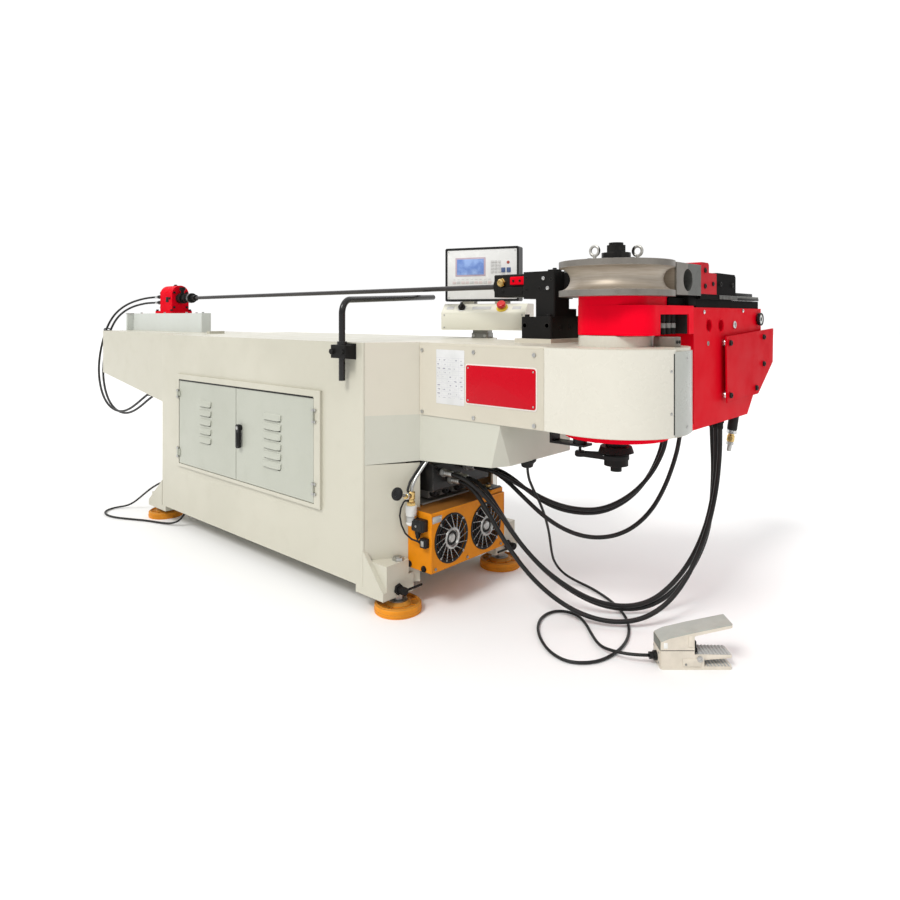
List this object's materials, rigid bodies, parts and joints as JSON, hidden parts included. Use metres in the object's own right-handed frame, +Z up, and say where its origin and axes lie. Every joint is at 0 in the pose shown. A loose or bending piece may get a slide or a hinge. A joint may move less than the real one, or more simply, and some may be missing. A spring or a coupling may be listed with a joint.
{
  "type": "pipe bending machine",
  "caption": "Floor-standing mandrel pipe bender: a long welded frame with a swing arm, bend, clamp, pressure and wiper dies, a mandrel rod, oil cooler, console and foot pedal.",
  "frame": {"origin": "centre of the bounding box without cords, on the floor", "axes": "+X along the tube line towards the bend head, +Y away from the cabinet doors, +Z up"},
  "size_m": [4.298, 1.6279, 1.41],
  "materials": {
    "frame_paint": "satin ivory enamel",
    "nose_paint": "satin white enamel",
    "door_paint": "satin light grey enamel",
    "red_paint": "gloss signal red enamel",
    "cover_paint": "gloss signal red enamel",
    "orange_paint": "satin orange enamel",
    "black_oxide": "black oxide",
    "tool_steel": "ground tool steel",
    "bright_steel": "bright steel",
    "bronze": "turned bronze",
    "tank_paint": "grey enamel",
    "motor_iron": "cast, painted",
    "rubber": "matt black rubber",
    "black_plastic": "moulded",
    "case_plastic": "moulded",
    "pedal_plastic": "satin cream enamel on cast aluminium",
    "tread_plastic": "ribbed moulding",
    "button_red": "moulded"
  },
  "bodies": {
    "frame": {"base_frame": "frame_paint", "front_bed": "frame_paint", "rear_beam": "frame_paint", "nose_cover": "nose_paint", "side_panel": "frame_paint", "panel_screws": "bright_steel", "spindle_bearings": "bronze", "foot_pads": "orange_paint", "foot_screws": "bright_steel", "door_hinges": "frame_paint", "hydraulic_tank": "tank_paint", "pump_motor": "motor_iron", "valve_block": "bright_steel", "oil_cooler": "orange_paint", "mandrel_cylinder": "red_paint", "cylinder_fittings": "black_oxide", "support_clamp": "frame_paint", "wiper_base": "black_oxide", "wiper_die": "tool_steel", "rod_guide": "black_oxide", "pressure_base": "nose_paint", "encoder": "black_oxide", "encoder_belt": "rubber", "bend_cylinder": "black_oxide", "pedal_base": "pedal_plastic", "pedal_gland": "black_plastic", "arm_hose_a1": "rubber", "arm_hose_a2": "rubber", "arm_hose_b": "rubber", "arm_hose_c1": "rubber", "arm_hose_c2": "rubber", "pedal_cable": "rubber", "rear_hose_1": "rubber", "rear_hose_2": "rubber", "rear_cable": "rubber"},
    "left_door": {"left_door": "door_paint"},
    "right_door": {"right_door": "door_paint"},
    "door_handle": {"door_handle": "black_oxide"},
    "mandrel": {"mandrel_rod": "bright_steel"},
    "support_arm": {"support_rod": "bright_steel"},
    "console": {"console_box": "nose_paint", "controller": "case_plastic"},
    "estop": {"estop_button": "button_red"},
    "selector": {"selector_switch": "black_plastic"},
    "pressure_slide": {"pressure_die": "black_oxide"},
    "swing_arm": {"swing_arm": "red_paint", "arm_cover": "cover_paint", "arm_slideway": "black_oxide", "spindle": "bright_steel", "bend_pinion": "bright_steel", "bend_die": "tool_steel", "die_nut": "bright_steel"},
    "clamp_slide": {"clamp_carriage": "black_oxide", "clamp_holder": "red_paint", "clamp_die": "tool_steel"},
    "encoder_wheel": {"encoder_pulley": "bright_steel"},
    "bend_rack": {"bend_rack": "bright_steel"},
    "fan_near": {"cooler_fan_near": "black_plastic"},
    "fan_far": {"cooler_fan_far": "black_plastic"},
    "treadle": {"pedal_treadle": "tread_plastic"}
  },
  "joints": [
    {"name": "arm_swing", "type": "hinge", "parent": "frame", "child": "swing_arm", "pos_m": [1.69446, -0.297, 1], "axis": [0, 0, -1], "range_deg": [0, 190], "deforming": ["arm_hose_a1", "arm_hose_a2", "arm_hose_b", "arm_hose_c1", "arm_hose_c2"]},
    {"name": "clamp_slide", "type": "slide", "parent": "swing_arm", "child": "clamp_slide", "axis": [0, 1, 0], "range_m": [0, 0.1]},
    {"name": "pressure_slide", "type": "slide", "parent": "frame", "child": "pressure_slide", "axis": [0, 1, 0], "range_m": [0, 0.06]},
    {"name": "mandrel_retract", "type": "slide", "parent": "frame", "child": "mandrel", "axis": [-1, 0, 0], "range_m": [0, 0.12]},
    {"name": "left_door_hinge", "type": "hinge", "parent": "frame", "child": "left_door", "pos_m": [-0.55554, -0.72, 0.56], "axis": [0, 0, -1], "range_deg": [0, 110]},
    {"name": "right_door_hinge", "type": "hinge", "parent": "frame", "child": "right_door", "pos_m": [0.58446, -0.72, 0.56], "axis": [0, 0, 1], "range_deg": [0, 110]},
    {"name": "door_handle_turn", "type": "hinge", "parent": "right_door", "child": "door_handle", "pos_m": [0.03746, -0.712, 0.594], "axis": [0, -1, 0], "range_deg": [0, 90]},
    {"name": "support_swivel", "type": "hinge", "parent": "frame", "child": "support_arm", "pos_m": [0.78046, -0.728, 0.966], "axis": [0, 0, 1], "range_deg": [-4, 150]},
    {"name": "console_swivel", "type": "hinge", "parent": "frame", "child": "console", "pos_m": [0.83446, 0.043, 1.02], "axis": [0, 0, 1], "range_deg": [-30, 15]},
    {"name": "estop_press", "type": "slide", "parent": "console", "child": "estop", "axis": [-0.2274, 0.6604, -0.7157], "range_m": [0, 0.006], "stiffness_N_per_m": 600},
    {"name": "selector_turn", "type": "hinge", "parent": "console", "child": "selector", "pos_m": [0.77737, -0.03692, 1.14266], "axis": [0.2274, -0.6604, 0.7157], "range_deg": [-45, 45]},
    {"name": "fan_near_spin", "type": "hinge", "parent": "frame", "child": "fan_near", "pos_m": [1.04046, -0.448, 0.259], "axis": [1, 0, 0], "continuous": true},
    {"name": "fan_far_spin", "type": "hinge", "parent": "frame", "child": "fan_far", "pos_m": [1.04046, -0.241, 0.259], "axis": [1, 0, 0], "continuous": true},
    {"name": "encoder_spin", "type": "hinge", "parent": "frame", "child": "encoder_wheel", "pos_m": [1.57546, -0.33, 0.63], "axis": [0, 0, -1], "range_deg": [-5, 515]},
    {"name": "bend_pull", "type": "slide", "parent": "frame", "child": "bend_rack", "axis": [-1, 0, 0], "range_m": [-0.001, 0.168]},
    {"name": "treadle_press", "type": "hinge", "parent": "frame", "child": "treadle", "pos_m": [1.94617, -0.24858, 0.034], "axis": [-0.6717, 0.7408, 0], "range_deg": [0, 8], "stiffness_Nm_per_rad": 10, "springref_deg": -6.88}
  ],
  "couplings": [
    {"joint": "encoder_spin", "follows": "arm_swing", "ratio": 2.6667},
    {"joint": "bend_pull", "follows": "arm_swing", "m_per_rad": 0.05}
  ]
}
